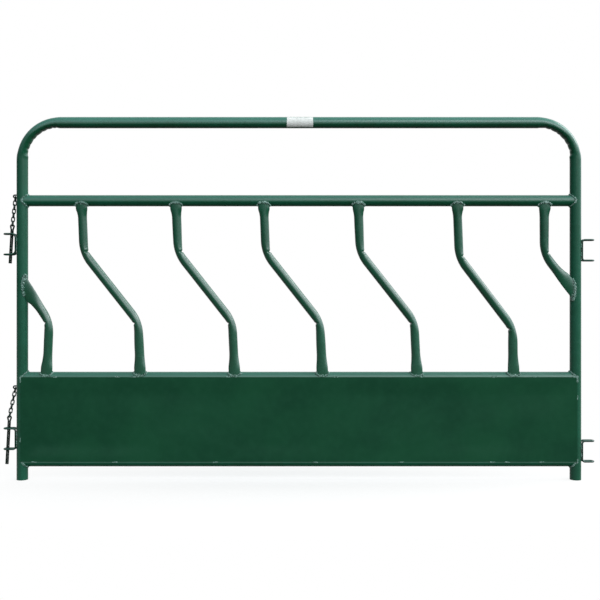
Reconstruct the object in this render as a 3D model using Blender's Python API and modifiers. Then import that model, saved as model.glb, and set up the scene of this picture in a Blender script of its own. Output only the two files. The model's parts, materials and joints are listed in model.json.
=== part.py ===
"""Hay feeder panel: a welded steel tube panel, one side of a ring or row of panels round a bale.

Units are metres. +X runs along the panel to the right as seen from the front, -Y is the front,
+Z is up, and the origin is on the ground under the middle of the panel. The outer frame is one
tube bent to an upside-down U. Three rails, a sheet and seven bent bars are welded into it. Each
post carries two connector loops, and the left post carries two pins, each on its own chain.
"""

import math

import bmesh
import bpy
from mathutils import Matrix, Vector

# Clearance left between two pieces that touch or are welded
GAP = 0.0003

# Outer frame: one bent tube, standing on its two open legs
FRAME_WIDTH = 2.4384
TUBE_DIAMETER = 0.0483
TUBE_WALL = 0.0017
CORNER_RADIUS = 0.165

# Heights of the bays, from rail axis to rail axis
BOTTOM_RAIL_HEIGHT = 0.0806
SHEET_BAY = 0.3604
FEED_BAY = 0.7631
HEAD_BAY = 0.3376

# Sheet welded on the front of the rails and posts, its top edge a little above the rail's axis
SHEET_THICKNESS = 0.0019
SHEET_ABOVE_AXIS = 0.003

# Bent bars of the feed bay: each leans a little, slants across, and leans again below its second bend
BAR_DIAMETER = 0.0381
BAR_WALL = 0.0015
BAR_SETBACK = 0.0010
BAR_BEND_RADIUS = 0.165
HEAD_LEAN = math.radians(2.2)
BEND_DROP = 0.2259
DIAGONAL_LEAN = math.radians(38.2)
DIAGONAL_RISE = 0.2975
FOOT_LEAN = math.radians(2.7)
# The fifth bar is bent a little lower down
FIFTH_BEND_DROP = 0.2460
FIFTH_DIAGONAL_LEAN = math.radians(37.3)
FIFTH_DIAGONAL_RISE = 0.3032
FIFTH_FOOT_LEAN = math.radians(0.5)
# Bar places along the mid rail, axis to axis
POST_TO_FIRST_BAR = 0.2581
FIRST_BAR_TO_SECOND = 0.4064
SECOND_BAR_TO_THIRD = 0.3784
THIRD_BAR_TO_FOURTH = 0.4072
FOURTH_BAR_TO_FIFTH = 0.4272
# Short bars, and how far in from its post each one is bent
LEFT_SHORT_INSET = 0.1169
LEFT_SHORT_DIAGONAL_LEAN = math.radians(33.2)
LEFT_SHORT_FOOT_LEAN = math.radians(-2.3)
RIGHT_SHORT_INSET = 0.1361
RIGHT_SHORT_BEND_DROP = 0.2320
# Pressed ends: narrow on the rails, and all but flat on the posts
RAIL_END_WIDTH = 0.049
RAIL_END_DEPTH = 0.019
HEAD_END_TAPER = 0.050
FOOT_END_TAPER = 0.085
POST_END_WIDTH = 0.054
POST_END_DEPTH = 0.0105
POST_END_FLAT = 0.060
POST_END_TAPER = 0.095

# Connector loops: a closed ring of rod, both ends bent out to a prong
LOOP_ROD = 0.008
LOOP_HALF_SPACING = 0.0125
LOOP_REACH = 0.081
LOOP_BEND_RADIUS = 0.012
UPPER_LEFT_BEND_RADIUS = 0.018
PRONG_SPACING = 0.0886
UPPER_LOOP_LEFT = 0.9718
UPPER_LOOP_RIGHT = 0.9457
LOWER_LOOP_LEFT = 0.1324
LOWER_LOOP_RIGHT = 0.0784

# Pins: rod bent double round an eye, hanging in the loops of the left post
PIN_ROD = 0.0069
PIN_LEG_SPACING = 0.0074
PIN_EYE_RADIUS = 0.0073
PIN_EYE_FLARE = math.radians(15)
PIN_NECK_DROP = 0.013
PIN_FORWARD = 0.0045
UPPER_PIN_LENGTH = 0.1706
LOWER_PIN_LENGTH = 0.2117
UPPER_PIN_LEAN = math.radians(3.4)
LOWER_PIN_LEAN = math.radians(3.1)
UPPER_PIN_OUT = 0.04125
LOWER_PIN_OUT = 0.05385
UPPER_PIN_ABOVE_PRONG = 0.0395
LOWER_PIN_ABOVE_PRONG = 0.0538

# Chain of oval links from each staple to its pin's eye
CHAIN_WIRE = 0.00476
LINK_LENGTH = 0.0183
LINK_WIDTH = 0.0079
LINK_COUNT = 7

# Staples: a half link of thicker rod welded to the left post, which holds the chain's top
STAPLE_ROD = 0.006
STAPLE_HALF_SPACING = 0.0058
STAPLE_STRAIGHT = 0.0117
STAPLE_BACK = 0.009
LINK_ALONG_STAPLE = 0.0090

# Facets
TUBE_SIDES = 20
BAR_SIDES = 12
ROD_SIDES = 8
CUTTER_SIDES = 32
FRAME_BEND_STEPS = 9
BAR_BEND_STEPS = 4
TAPER_STOPS = (0.0, 0.35, 0.65, 1.0)
LOOP_BEND_STEPS = 3
PRONG_TIP_STEPS = 6
EYE_STEPS = 12
LINK_END_STEPS = 6
STAPLE_BEND_STEPS = 8

# Places worked out from the sizes above
TUBE_RADIUS = TUBE_DIAMETER / 2
TUBE_Y = (SHEET_THICKNESS + GAP) / 2
POST_X = FRAME_WIDTH / 2 - TUBE_RADIUS
BOTTOM_RAIL_Z = BOTTOM_RAIL_HEIGHT
SHEET_RAIL_Z = BOTTOM_RAIL_Z + SHEET_BAY
MID_RAIL_Z = SHEET_RAIL_Z + FEED_BAY
TOP_RAIL_Z = MID_RAIL_Z + HEAD_BAY
BAR_Y = TUBE_Y - TUBE_RADIUS + BAR_SETBACK + BAR_DIAMETER / 2
PIN_Y = TUBE_Y - PIN_FORWARD
STAPLE_Y = TUBE_Y + STAPLE_BACK
LINK_HALF_WIDTH = (LINK_WIDTH + CHAIN_WIRE) / 2
BAR_SPACES = (
    POST_TO_FIRST_BAR,
    FIRST_BAR_TO_SECOND,
    SECOND_BAR_TO_THIRD,
    THIRD_BAR_TO_FOURTH,
    FOURTH_BAR_TO_FIFTH,
)

GREEN_TUBE = (0.018, 0.085, 0.045, 1.0)
GREEN_SHEET = (0.011, 0.060, 0.031, 1.0)
GREEN_ROD = (0.015, 0.045, 0.028, 1.0)
DARK_STEEL = (0.020, 0.035, 0.027, 1.0)


def clear_scene():
    for obj in list(bpy.data.objects):
        bpy.data.objects.remove(obj, do_unlink=True)


def new_collection(name, hidden=False):
    collection = bpy.data.collections.new(name)
    collection.hide_render = hidden
    bpy.context.scene.collection.children.link(collection)
    return collection


def paint(obj, colour, roughness, metallic):
    """Gives an object its own painted-steel material."""
    material = bpy.data.materials.new(obj.name + "_finish")
    material.use_nodes = True
    shader = material.node_tree.nodes["Principled BSDF"]
    shader.inputs["Base Color"].default_value = colour
    shader.inputs["Roughness"].default_value = roughness
    shader.inputs["Metallic"].default_value = metallic
    obj.data.materials.clear()
    obj.data.materials.append(material)


def rod(name, points, diameter, collection, sides=ROD_SIDES, closed=False, caps=True):
    """A round rod or an open skin of a tube along points, as a curve object."""
    curve = bpy.data.curves.new(name, "CURVE")
    curve.dimensions = "3D"
    curve.bevel_depth = diameter / 2
    curve.bevel_resolution = (sides - 4) // 2
    curve.use_fill_caps = caps and not closed
    spline = curve.splines.new("POLY")
    spline.points.add(len(points) - 1)
    for point, place in zip(spline.points, points):
        point.co = (*place, 1.0)
    spline.use_cyclic_u = closed
    spline.use_smooth = True
    obj = bpy.data.objects.new(name, curve)
    collection.objects.link(obj)
    return obj


def as_mesh(obj, collection):
    """Turns a curve object into a mesh object of the same name and place."""
    bpy.context.view_layer.update()
    evaluated = obj.evaluated_get(bpy.context.evaluated_depsgraph_get())
    mesh = bpy.data.meshes.new_from_object(evaluated)
    place = obj.matrix_world.copy()
    name = obj.name
    bpy.data.objects.remove(obj, do_unlink=True)
    shape = bmesh.new()
    shape.from_mesh(mesh)
    bmesh.ops.remove_doubles(shape, verts=shape.verts, dist=0.00001)
    shape.to_mesh(mesh)
    shape.free()
    result = bpy.data.objects.new(name, mesh)
    result.matrix_world = place
    collection.objects.link(result)
    return result


def add_wall(obj, wall):
    """Gives the open skin of a tube its wall, inwards, and leaves the tube open at both ends."""
    solidify = obj.modifiers.new("wall", "SOLIDIFY")
    solidify.thickness = wall
    solidify.offset = -1.0
    solidify.use_even_offset = True


def cut(obj, *cutters):
    for cutter in cutters:
        boolean = obj.modifiers.new(cutter.name, "BOOLEAN")
        boolean.operation = "DIFFERENCE"
        boolean.solver = "EXACT"
        boolean.object = cutter


def tube_cutter(name, start, end, cutters):
    """A cylinder round a rail or post, wide enough for the pieces coped on it to stay clear."""
    along = end - start
    radius = (TUBE_RADIUS + GAP) / math.cos(math.pi / CUTTER_SIDES)
    mesh = bpy.data.meshes.new(name)
    shape = bmesh.new()
    bmesh.ops.create_cone(
        shape, cap_ends=True, segments=CUTTER_SIDES, radius1=radius, radius2=radius, depth=along.length
    )
    shape.to_mesh(mesh)
    shape.free()
    obj = bpy.data.objects.new(name, mesh)
    turn = along.to_track_quat("Z", "Y").to_matrix().to_4x4()
    obj.matrix_world = Matrix.Translation((start + end) / 2) @ turn
    obj.display_type = "WIRE"
    obj.hide_render = True
    cutters.objects.link(obj)
    return obj


def beyond_cutter(name, side, cutters):
    """A block on the far side of a post's axis, where no bar reaches."""
    mesh = bpy.data.meshes.new(name)
    shape = bmesh.new()
    bmesh.ops.create_cube(shape, size=1.0)
    shape.to_mesh(mesh)
    shape.free()
    obj = bpy.data.objects.new(name, mesh)
    depth = 2 * TUBE_DIAMETER
    middle = Vector((side * (POST_X + depth / 2), TUBE_Y, TOP_RAIL_Z / 2))
    obj.matrix_world = Matrix.LocRotScale(middle, None, Vector((depth, depth, TOP_RAIL_Z)))
    obj.display_type = "WIRE"
    obj.hide_render = True
    cutters.objects.link(obj)
    return obj


def arc(centre, first, second, start, end, steps):
    """Points round centre from angle start to end, with the arms at 0 and 90 degrees given."""
    points = []
    for step in range(steps + 1):
        angle = start + (end - start) * step / steps
        points.append(centre + first * math.cos(angle) + second * math.sin(angle))
    return points


def rounded(corner, before, after, radius, steps):
    """Points of the bend of this radius that takes the line from before to after round a corner."""
    to_before = (before - corner).normalized()
    to_after = (after - corner).normalized()
    half = to_before.angle(to_after) / 2
    middle = (to_before + to_after).normalized()
    centre = corner + middle * (radius / math.sin(half))
    start = corner + to_before * (radius / math.tan(half)) - centre
    normal = start.cross(corner + to_after * (radius / math.tan(half)) - centre).normalized()
    side = normal.cross(start)
    return arc(centre, start, side, 0.0, math.pi - 2 * half, steps)


def build_outer_frame(parts):
    """One tube from the left foot up, over and down to the right foot."""
    left_corner = Vector((-POST_X, TUBE_Y, TOP_RAIL_Z))
    right_corner = Vector((POST_X, TUBE_Y, TOP_RAIL_Z))
    left_foot = Vector((-POST_X, TUBE_Y, 0.0))
    right_foot = Vector((POST_X, TUBE_Y, 0.0))
    points = [left_foot]
    points += rounded(left_corner, left_foot, right_corner, CORNER_RADIUS, FRAME_BEND_STEPS)
    points += rounded(right_corner, left_corner, right_foot, CORNER_RADIUS, FRAME_BEND_STEPS)
    points.append(right_foot)
    skin = rod("outer_frame", points, TUBE_DIAMETER, parts, TUBE_SIDES, caps=False)
    frame = as_mesh(skin, parts)
    add_wall(frame, TUBE_WALL)
    paint(frame, GREEN_TUBE, 0.35, 0.0)


def build_rail(name, height, parts, posts):
    """A straight tube between the posts, coped to fit round them."""
    ends = [Vector((-POST_X, TUBE_Y, height)), Vector((POST_X, TUBE_Y, height))]
    rail = as_mesh(rod(name, ends, TUBE_DIAMETER, parts, TUBE_SIDES, caps=False), parts)
    add_wall(rail, TUBE_WALL)
    cut(rail, *posts)
    paint(rail, GREEN_TUBE, 0.35, 0.0)


def build_sheet(parts):
    """A flat sheet on the front of the tubes, from post to post and from rail to rail."""
    bpy.ops.mesh.primitive_cube_add(size=1.0)
    sheet = bpy.context.object
    sheet.name = "lower_sheet"
    for vertex in sheet.data.vertices:
        vertex.co.x *= 2 * POST_X
        vertex.co.y *= SHEET_THICKNESS
        vertex.co.z *= SHEET_BAY + SHEET_ABOVE_AXIS
    sheet.location = (
        0.0,
        TUBE_Y - TUBE_RADIUS - GAP - SHEET_THICKNESS / 2,
        (BOTTOM_RAIL_Z + SHEET_RAIL_Z + SHEET_ABOVE_AXIS) / 2,
    )
    for collection in list(sheet.users_collection):
        collection.objects.unlink(sheet)
    parts.objects.link(sheet)
    paint(sheet, GREEN_SHEET, 0.45, 0.0)


class PressedEnd:
    """A bar's end, pressed from the back to a wide and shallow section where it meets a tube."""

    def __init__(self, cutters, width, depth, flat, taper):
        self.cutters = cutters
        self.width = width
        self.depth = depth
        self.flat = flat
        self.taper = taper

    def stops(self, end, towards):
        """Points near the end, so that the section can change along the taper."""
        direction = (towards - end).normalized()
        first = TUBE_RADIUS / 2
        last = self.flat + self.taper
        places = [first] + [self.flat + self.taper * share for share in TAPER_STOPS]
        return [end + direction * min(place, last) for place in places]

    def press(self, mesh, end, towards):
        direction = (towards - end).normalized()
        across = direction.cross(Vector((0.0, 1.0, 0.0))).normalized()
        front = BAR_Y - BAR_DIAMETER / 2
        reach = self.flat + self.taper
        for vertex in mesh.vertices:
            offset = vertex.co - end
            distance = offset.dot(direction)
            if distance > reach or offset.length > 1.5 * reach:
                continue
            share = min(1.0, max(0.0, 1.0 - (distance - self.flat) / self.taper))
            share = share * share * (3 - 2 * share)
            widen = 1.0 + share * (self.width / BAR_DIAMETER - 1.0)
            thin = 1.0 + share * (self.depth / BAR_DIAMETER - 1.0)
            vertex.co += across * (offset.dot(across) * (widen - 1.0))
            vertex.co.y = front + (vertex.co.y - front) * thin


def rail_end(cutter, taper):
    return PressedEnd([cutter], RAIL_END_WIDTH, RAIL_END_DEPTH, TUBE_RADIUS, taper)


def post_end(cutter, beyond):
    return PressedEnd([cutter, beyond], POST_END_WIDTH, POST_END_DEPTH, POST_END_FLAT, POST_END_TAPER)


def build_bar(name, corners, first_end, last_end, parts):
    """A bar bent at each inner corner, pressed at both ends and coped on the tubes it meets."""
    path = [corners[0]] + first_end.stops(corners[0], corners[1])
    for before, corner, after in zip(corners, corners[1:], corners[2:]):
        path += rounded(corner, before, after, BAR_BEND_RADIUS, BAR_BEND_STEPS)
    path += list(reversed(last_end.stops(corners[-1], corners[-2]))) + [corners[-1]]
    bar = as_mesh(rod(name, path, BAR_DIAMETER, parts, BAR_SIDES, caps=False), parts)
    first_end.press(bar.data, corners[0], corners[1])
    last_end.press(bar.data, corners[-1], corners[-2])
    add_wall(bar, BAR_WALL)
    cut(bar, *first_end.cutters, *last_end.cutters)
    paint(bar, GREEN_TUBE, 0.35, 0.0)


def down(start, lean, height):
    """The point at this height on a line that leans to the right on its way down from start."""
    return Vector((start.x + (start.z - height) * math.tan(lean), BAR_Y, height))


def build_full_bar(number, top_x, rails, parts):
    """One of the five bars that run from the mid rail to the sheet rail."""
    drop, diagonal, rise, foot = BEND_DROP, DIAGONAL_LEAN, DIAGONAL_RISE, FOOT_LEAN
    if number == 5:
        drop, diagonal, rise, foot = FIFTH_BEND_DROP, FIFTH_DIAGONAL_LEAN, FIFTH_DIAGONAL_RISE, FIFTH_FOOT_LEAN
    top = Vector((top_x, BAR_Y, MID_RAIL_Z))
    upper = down(top, HEAD_LEAN, MID_RAIL_Z - drop)
    lower = down(upper, diagonal, upper.z - rise)
    bottom = down(lower, foot, SHEET_RAIL_Z)
    build_bar("slant_bar_%d" % number, [top, upper, lower, bottom], *rails, parts)


def build_bars(parts, mid_cutter, sheet_cutter, left_end, right_end):
    """Five full bars, and a short one at each post."""
    on_mid = rail_end(mid_cutter, HEAD_END_TAPER)
    on_sheet = rail_end(sheet_cutter, FOOT_END_TAPER)
    top_x = -POST_X
    for number, space in enumerate(BAR_SPACES, start=1):
        top_x += space
        build_full_bar(number, top_x, (on_mid, on_sheet), parts)

    right_x = POST_X - RIGHT_SHORT_INSET
    top = Vector((right_x, BAR_Y, MID_RAIL_Z))
    bend = Vector((right_x, BAR_Y, MID_RAIL_Z - RIGHT_SHORT_BEND_DROP))
    foot = down(bend, DIAGONAL_LEAN, bend.z - RIGHT_SHORT_INSET / math.tan(DIAGONAL_LEAN))
    build_bar("slant_bar_right_short", [top, bend, foot], on_mid, right_end, parts)

    rise = LEFT_SHORT_INSET / math.tan(LEFT_SHORT_DIAGONAL_LEAN)
    bend = Vector((LEFT_SHORT_INSET - POST_X, BAR_Y, MID_RAIL_Z - BEND_DROP - DIAGONAL_RISE))
    head = Vector((-POST_X, BAR_Y, bend.z + rise))
    foot = down(bend, LEFT_SHORT_FOOT_LEAN, SHEET_RAIL_Z)
    build_bar("slant_bar_left_short", [head, bend, foot], left_end, on_sheet, parts)


def build_loop(name, side, lower_prong, parts, bend_radius=LOOP_BEND_RADIUS):
    """A ring of rod on a post's outer flank, its two ends bent out as prongs. side is -1 left, 1 right."""
    touch = TUBE_RADIUS + GAP + LOOP_ROD / 2
    upright_out = math.sqrt(touch**2 - LOOP_HALF_SPACING**2)
    tip_out = LOOP_REACH - LOOP_ROD / 2 - LOOP_HALF_SPACING
    outwards = Vector((side, 0.0, 0.0))
    up = Vector((0.0, 0.0, 1.0))
    back = Vector((0.0, 1.0, 0.0))
    axis = Vector((side * POST_X, TUBE_Y, 0.0))
    heights = (lower_prong, lower_prong + PRONG_SPACING)
    points = []
    for height, turn in zip(heights, (1, -1)):
        level = axis + up * height
        corner = level + outwards * upright_out
        mast = up * (turn * PRONG_SPACING)
        near = back * (-turn * LOOP_HALF_SPACING)
        near_corner = corner + near
        far_corner = corner - near
        points += rounded(near_corner, near_corner + mast, near_corner + outwards, bend_radius, LOOP_BEND_STEPS)
        tip = level + outwards * tip_out
        points += arc(tip, near, outwards * LOOP_HALF_SPACING, 0.0, math.pi, PRONG_TIP_STEPS)
        points += rounded(far_corner, far_corner + outwards, far_corner + mast, bend_radius, LOOP_BEND_STEPS)
    loop = rod(name, points, LOOP_ROD, parts, closed=True)
    paint(loop, GREEN_ROD, 0.4, 0.0)


def build_pin(name, top, length, lean, parts):
    """A pin with its origin on the wire at the top of its eye, its legs leaning away from the post."""
    eye = Vector((0.0, 0.0, -PIN_EYE_RADIUS))
    right = Vector((1.0, 0.0, 0.0))
    up = Vector((0.0, 0.0, 1.0))
    half = PIN_LEG_SPACING / 2
    tip = up * (PIN_ROD / 2 - length)
    neck = eye - up * PIN_NECK_DROP
    start, end = -PIN_EYE_FLARE, math.pi + PIN_EYE_FLARE
    points = [tip + right * half, neck + right * half]
    points += arc(eye, right * PIN_EYE_RADIUS, up * PIN_EYE_RADIUS, start, end, EYE_STEPS)
    points += [neck - right * half, tip - right * half]
    pin = rod(name, points, PIN_ROD, parts)
    pin.location = top
    pin.rotation_euler = (0.0, lean, 0.0)
    paint(pin, DARK_STEEL, 0.45, 0.3)


def link_points(drop):
    """Centre line of a link in its own XZ plane, its centre this far under its origin."""
    half_straight = (LINK_LENGTH - LINK_WIDTH) / 2
    right = Vector((LINK_HALF_WIDTH, 0.0, 0.0))
    up = Vector((0.0, 0.0, LINK_HALF_WIDTH))
    upper = Vector((0.0, 0.0, half_straight - drop))
    lower = Vector((0.0, 0.0, -half_straight - drop))
    top = arc(upper, right, up, 0.0, math.pi, LINK_END_STEPS)
    bottom = arc(lower, right, up, math.pi, 2 * math.pi, LINK_END_STEPS)
    return top + bottom


def staple_lower_arm(eye_top):
    """Where the chain's first link hangs on its staple, for a taut chain up from this eye."""
    out = -POST_X - TUBE_RADIUS - LINK_ALONG_STAPLE
    wire = CHAIN_WIRE / 2
    first = LINK_LENGTH - 2 * GAP - wire - STAPLE_ROD / 2
    edge = LINK_LENGTH - 2 * GAP - CHAIN_WIRE
    face = LINK_LENGTH + CHAIN_WIRE
    last = LINK_LENGTH - 2 * GAP - wire - PIN_ROD / 2
    pairs = LINK_COUNT // 2
    length = first + (pairs - 1) * edge + pairs * face + last
    level = Vector((out - eye_top.x, STAPLE_Y - eye_top.y))
    rise = math.sqrt(length**2 - level.length_squared)
    return Vector((out, STAPLE_Y, eye_top.z + rise)), first, edge, face


def build_chain(name, eye_top, parts, post_cutter):
    """A staple on the left post and the links from it to the eye, every other link turned a quarter."""
    hook, first, edge, face = staple_lower_arm(eye_top)
    build_staple("%s_anchor" % name, hook, parts, post_cutter)
    along = (eye_top - hook).normalized()
    across = Vector((1.0, 0.0, 0.0))
    across = (across - along * across.dot(along)).normalized()
    depth = along.cross(across)
    place = hook.copy()
    held_by = STAPLE_ROD
    for number in range(1, LINK_COUNT + 1):
        edge_on = number % 2 == 1
        drop = face / 2 if not edge_on else LINK_LENGTH / 2 - GAP - held_by / 2
        wide, thick = (depth, across) if edge_on else (across, -depth)
        link = rod("%s_link_%d" % (name, number), link_points(drop), CHAIN_WIRE, parts, closed=True)
        turn = Matrix((wide, thick, -along)).transposed()
        link.matrix_world = Matrix.Translation(place) @ turn.to_4x4()
        paint(link, DARK_STEEL, 0.45, 0.3)
        step = first if number == 1 else edge
        place += along * (step if edge_on else face)
        held_by = CHAIN_WIRE


def build_staple(name, hook, parts, post_cutter):
    """A half link standing out from the post's flank, its two arms one above the other."""
    bend_x = -POST_X - TUBE_RADIUS - STAPLE_STRAIGHT
    inside_x = -POST_X - TUBE_RADIUS / 2
    up = Vector((0.0, 0.0, STAPLE_HALF_SPACING))
    outwards = Vector((-STAPLE_HALF_SPACING, 0.0, 0.0))
    bend = Vector((bend_x, hook.y, hook.z)) + up
    lower_end = Vector((inside_x, hook.y, hook.z))
    points = [lower_end] + arc(bend, -up, outwards, 0.0, math.pi, STAPLE_BEND_STEPS) + [lower_end + 2 * up]
    staple = as_mesh(rod(name, points, STAPLE_ROD, parts), parts)
    cut(staple, post_cutter)
    paint(staple, DARK_STEEL, 0.45, 0.3)


def main():
    clear_scene()
    parts = new_collection("hay_feeder_panel")
    cutters = new_collection("cutters", hidden=True)
    over = Vector((TUBE_DIAMETER, 0.0, 0.0))
    above = Vector((0.0, 0.0, TUBE_DIAMETER))

    def rail_cutter(name, height):
        ends = [Vector((side * POST_X, TUBE_Y, height)) for side in (-1, 1)]
        return tube_cutter(name, ends[0] - over, ends[1] + over, cutters)

    def post_cutter(name, side):
        foot = Vector((side * POST_X, TUBE_Y, 0.0))
        head = Vector((side * POST_X, TUBE_Y, TOP_RAIL_Z))
        return tube_cutter(name, foot - above, head, cutters)

    left_post = post_cutter("cut_left_post", -1)
    right_post = post_cutter("cut_right_post", 1)
    mid_cutter = rail_cutter("cut_mid_rail", MID_RAIL_Z)
    sheet_cutter = rail_cutter("cut_sheet_rail", SHEET_RAIL_Z)

    build_outer_frame(parts)
    build_rail("mid_rail", MID_RAIL_Z, parts, [left_post, right_post])
    build_rail("sheet_rail", SHEET_RAIL_Z, parts, [left_post, right_post])
    build_rail("bottom_rail", BOTTOM_RAIL_Z, parts, [left_post, right_post])
    build_sheet(parts)
    left_end = post_end(left_post, beyond_cutter("cut_beyond_left_post", -1, cutters))
    right_end = post_end(right_post, beyond_cutter("cut_beyond_right_post", 1, cutters))
    build_bars(parts, mid_cutter, sheet_cutter, left_end, right_end)

    build_loop("connector_loop_upper_left", -1, UPPER_LOOP_LEFT, parts, UPPER_LEFT_BEND_RADIUS)
    build_loop("connector_loop_upper_right", 1, UPPER_LOOP_RIGHT, parts)
    build_loop("connector_loop_lower_left", -1, LOWER_LOOP_LEFT, parts)
    build_loop("connector_loop_lower_right", 1, LOWER_LOOP_RIGHT, parts)

    pins = (
        ("upper", UPPER_PIN_OUT, UPPER_LOOP_LEFT, UPPER_PIN_ABOVE_PRONG, UPPER_PIN_LENGTH, UPPER_PIN_LEAN),
        ("lower", LOWER_PIN_OUT, LOWER_LOOP_LEFT, LOWER_PIN_ABOVE_PRONG, LOWER_PIN_LENGTH, LOWER_PIN_LEAN),
    )
    for place, out, prong, above_prong, length, lean in pins:
        eye_top = Vector((-POST_X - out, PIN_Y, prong + PRONG_SPACING + above_prong))
        build_pin("coupling_pin_%s" % place, eye_top, length, lean, parts)
        build_chain("chain_%s" % place, eye_top, parts, left_post)


main()
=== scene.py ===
"""Hay feeder panel: a welded steel tube panel under green enamel, dressed over its CAD frame.

Everything is in metres in the CAD's own frame: +X along the panel, -Y to the front, +Z up, ground at 0.
"""
import json
import math
import random

import bpy
from mathutils import Matrix, Vector, noise


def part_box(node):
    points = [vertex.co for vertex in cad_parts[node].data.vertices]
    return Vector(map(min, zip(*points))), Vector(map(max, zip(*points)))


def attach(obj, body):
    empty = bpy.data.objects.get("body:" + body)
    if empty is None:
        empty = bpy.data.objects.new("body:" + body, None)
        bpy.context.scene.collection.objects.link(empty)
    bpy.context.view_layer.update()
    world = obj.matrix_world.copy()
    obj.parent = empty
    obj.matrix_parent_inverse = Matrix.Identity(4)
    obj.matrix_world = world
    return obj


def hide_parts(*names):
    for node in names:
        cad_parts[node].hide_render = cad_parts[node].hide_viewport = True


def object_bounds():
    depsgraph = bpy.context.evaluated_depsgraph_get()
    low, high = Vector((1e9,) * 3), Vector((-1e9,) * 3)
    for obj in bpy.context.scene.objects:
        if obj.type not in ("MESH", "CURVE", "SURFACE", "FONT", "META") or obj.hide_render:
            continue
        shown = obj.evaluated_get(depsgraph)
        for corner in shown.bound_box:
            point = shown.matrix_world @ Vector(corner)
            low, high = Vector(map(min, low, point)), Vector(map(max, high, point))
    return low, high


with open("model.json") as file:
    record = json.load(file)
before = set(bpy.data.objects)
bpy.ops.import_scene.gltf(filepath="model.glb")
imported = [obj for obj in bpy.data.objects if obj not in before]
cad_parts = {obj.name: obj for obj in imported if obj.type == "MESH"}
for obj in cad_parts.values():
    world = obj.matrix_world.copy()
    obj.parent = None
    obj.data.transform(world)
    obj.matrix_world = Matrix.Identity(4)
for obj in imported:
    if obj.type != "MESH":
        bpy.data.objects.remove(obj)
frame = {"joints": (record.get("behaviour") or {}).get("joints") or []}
cad_low, cad_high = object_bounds()
bpy.ops.object.select_all(action="DESELECT")

RIGHT = Vector((1.0, 0.0, 0.0))
BACK = Vector((0.0, 1.0, 0.0))
UP = Vector((0.0, 0.0, 1.0))

# Sizes of the stock and of the work done on it, as in the part
GAP = 0.0003
TUBE_DIAMETER = 0.0483
TUBE_WALL = 0.0017
CORNER_RADIUS = 0.165
SHEET_THICKNESS = 0.0019
BAR_DIAMETER = 0.0381
BAR_SETBACK = 0.0010
BAR_BEND_RADIUS = 0.165
RAIL_END_DEPTH = 0.019
HEAD_END_TAPER = 0.050
FOOT_END_TAPER = 0.085
POST_END_WIDTH = 0.054
POST_END_DEPTH = 0.0105
POST_END_FLAT = 0.060
POST_END_TAPER = 0.095
HEAD_LEAN = math.radians(2.2)
BEND_DROP = 0.2259
DIAGONAL_LEAN = math.radians(38.2)
DIAGONAL_RISE = 0.2975
FOOT_LEAN = math.radians(2.7)
FIFTH_BEND_DROP = 0.2460
FIFTH_DIAGONAL_LEAN = math.radians(37.3)
FIFTH_DIAGONAL_RISE = 0.3032
FIFTH_FOOT_LEAN = math.radians(0.5)
BAR_SPACES = (0.2581, 0.4064, 0.3784, 0.4072, 0.4272)
LEFT_SHORT_INSET = 0.1169
LEFT_SHORT_DIAGONAL_LEAN = math.radians(33.2)
LEFT_SHORT_FOOT_LEAN = math.radians(-2.3)
RIGHT_SHORT_INSET = 0.1361
RIGHT_SHORT_BEND_DROP = 0.2320
LOOP_ROD = 0.008
LOOP_HALF_SPACING = 0.0125
LOOP_REACH = 0.081
LOOP_BEND_RADIUS = 0.012
UPPER_LEFT_BEND_RADIUS = 0.018
PRONG_SPACING = 0.0886
UPPER_LOOP_LEFT = 0.9718
UPPER_LOOP_RIGHT = 0.9457
LOWER_LOOP_LEFT = 0.1324
LOWER_LOOP_RIGHT = 0.0784
PIN_ROD = 0.0069
PIN_LEG_SPACING = 0.0074
PIN_EYE_RADIUS = 0.0073
PIN_NECK_DROP = 0.013
UPPER_PIN_LENGTH = 0.1706
LOWER_PIN_LENGTH = 0.2117
UPPER_PIN_LEAN = math.radians(3.4)
LOWER_PIN_LEAN = math.radians(3.1)
CHAIN_WIRE = 0.00476
LINK_LENGTH = 0.0183
LINK_WIDTH = 0.0079
LINK_COUNT = 7
STAPLE_ROD = 0.006
STAPLE_HALF_SPACING = 0.0058
STAPLE_STRAIGHT = 0.0117

# Sizes that the part leaves to the scene, and the pressed ends a millimetre wider than its solids have
RAIL_END_WIDTH = 0.050
SQUEEZE_RUN = 0.09
RAIL_END_RUN = 0.06
SHEET_FLAT_EDGE = 0.020
SHEET_EASE = 0.050
STITCH_BEAD = 0.0032
STITCH_LENGTH = 0.024
EDGE_STITCH_LENGTH = 0.020
STITCH_DEPTH = 0.0014
STITCH_OUTSIDE = 0.0012
CORNER_STITCH_BEAD = 0.0044
RAIL_BEAD = 0.0042
RAIL_BEAD_SET_IN = 0.0012
BAR_BEAD = 0.0048
BAR_BEAD_SET_OUT = 0.0022
BAR_BEAD_OVERLAP = 0.0002
LOOP_BEAD = 0.0030
STAPLE_BEAD = 0.0018
LABEL_LEFT = -0.0515
LABEL_RIGHT = 0.0611
LABEL_UPPER_EDGE = math.radians(56)
LABEL_LOWER_EDGE = math.radians(-62)
LABEL_FILM = 0.00015
PEEL_SIZE = 0.00625

# Places read from the CAD frame
TUBE_RADIUS = TUBE_DIAMETER / 2
frame_low, frame_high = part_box("outer_frame")
POST_X = frame_high.x - TUBE_RADIUS
TUBE_Y = (frame_low.y + frame_high.y) / 2
TOP_Z = frame_high.z - TUBE_RADIUS


def middle_height(node):
    low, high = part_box(node)
    return (low.z + high.z) / 2


MID_Z = middle_height("mid_rail")
SHEET_TOP_Z = middle_height("sheet_rail")
SHEET_FOOT_Z = middle_height("bottom_rail")
BAR_FRONT = TUBE_Y - TUBE_RADIUS + BAR_SETBACK
BAR_Y = BAR_FRONT + BAR_DIAMETER / 2


# Modelling

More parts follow.
